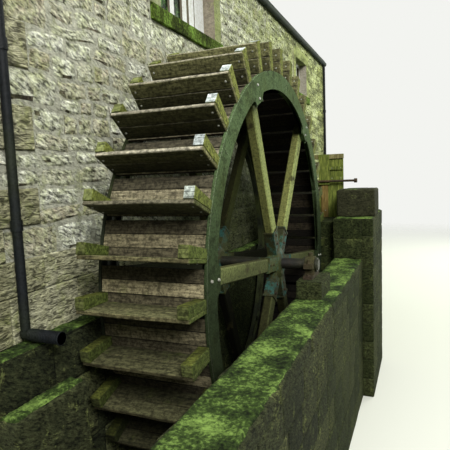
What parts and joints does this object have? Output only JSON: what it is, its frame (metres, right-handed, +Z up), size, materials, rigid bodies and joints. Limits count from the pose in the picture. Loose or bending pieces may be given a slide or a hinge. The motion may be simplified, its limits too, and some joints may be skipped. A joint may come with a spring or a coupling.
{
  "type": "watermill",
  "caption": "Stone watermill with a slate roof; a spoked breastshot wheel with timber floats turns in a walled pit beside it, fed by a sluice gate.",
  "frame": {"origin": "centre of the footprint at the bottom of the walls, level with the wheel pit's floor", "axes": "+X out of the wall beside the wheel, along the axle; +Y along the mill, past the sluice; +Z up"},
  "size_m": [8.1452, 12.36, 9.2796],
  "materials": {
    "ring_iron": "weathered green paint",
    "arm_timber": "weathered, algae",
    "hub_iron": "flaking paint",
    "axle_iron": "greasy",
    "sole_timber": "wet",
    "start_timber": "weathered, algae",
    "float_timber": "wet and worn",
    "bearing_iron": "greasy",
    "rubble_stone": "coursed rubble with lime mortar, stone",
    "moss_stone": "damp stone with moss",
    "sill_stone": "stone with moss",
    "margin_stone": "dressed stone",
    "floor_timber": "bare boards",
    "roof_slate": "slate",
    "gutter_paint": "dark green paint",
    "pipe_paint": "black paint",
    "window_paint": "white paint",
    "window_glass": "clear",
    "door_timber": "dark green paint",
    "sluice_timber": "weathered",
    "sluice_iron": "rusted"
  },
  "bodies": {
    "mill": {"bearing_block": "bearing_iron", "bearing_cap": "bearing_iron", "wall_bearing_block": "bearing_iron", "wall_bearing_cap": "bearing_iron", "wheel_wall": "rubble_stone", "back_wall": "rubble_stone", "near_gable": "rubble_stone", "far_gable": "rubble_stone", "ground_floor": "floor_timber", "upper_floor": "floor_timber", "roof_slope_wheel_side": "roof_slate", "roof_slope_back": "roof_slate", "roof_ridge": "roof_slate", "gutter_wheel_side": "gutter_paint", "gutter_back": "gutter_paint", "downpipe_near": "pipe_paint", "downpipe_far": "pipe_paint", "window_sills": "sill_stone", "window_margins": "margin_stone", "window_frames": "window_paint", "window_glass": "window_glass", "door_frame": "door_timber", "door_leaf": "door_timber", "wall_ledge": "moss_stone", "race_step": "moss_stone", "outer_pit_wall": "moss_stone", "pit_coping": "moss_stone", "pier_block": "moss_stone", "breast_wall": "moss_stone", "bearing_stone": "moss_stone", "sluice_posts": "sluice_timber", "sluice_head_rail": "sluice_timber", "sluice_boards": "sluice_timber", "sluice_battens": "sluice_timber", "sluice_rod": "sluice_iron"},
    "wheel": {"outer_ring": "ring_iron", "inner_ring": "ring_iron", "outer_arms": "arm_timber", "inner_arms": "arm_timber", "outer_hub": "hub_iron", "inner_hub": "hub_iron", "axle": "axle_iron", "sole_boards": "sole_timber", "outer_starts": "start_timber", "inner_starts": "start_timber", "float_boards_inner": "float_timber", "float_boards_outer": "float_timber"},
    "gate": {"gate_leaf": "sluice_timber", "gate_stem": "sluice_timber"}
  },
  "joints": [
    {"name": "wheel_spin", "type": "hinge", "parent": "mill", "child": "wheel", "pos_m": [3.29265, -2.88, 2.6], "axis": [1, 0, 0], "continuous": true},
    {"name": "gate_lift", "type": "slide", "parent": "mill", "child": "gate", "axis": [0, 0, 1], "range_m": [0, 0.4]}
  ]
}
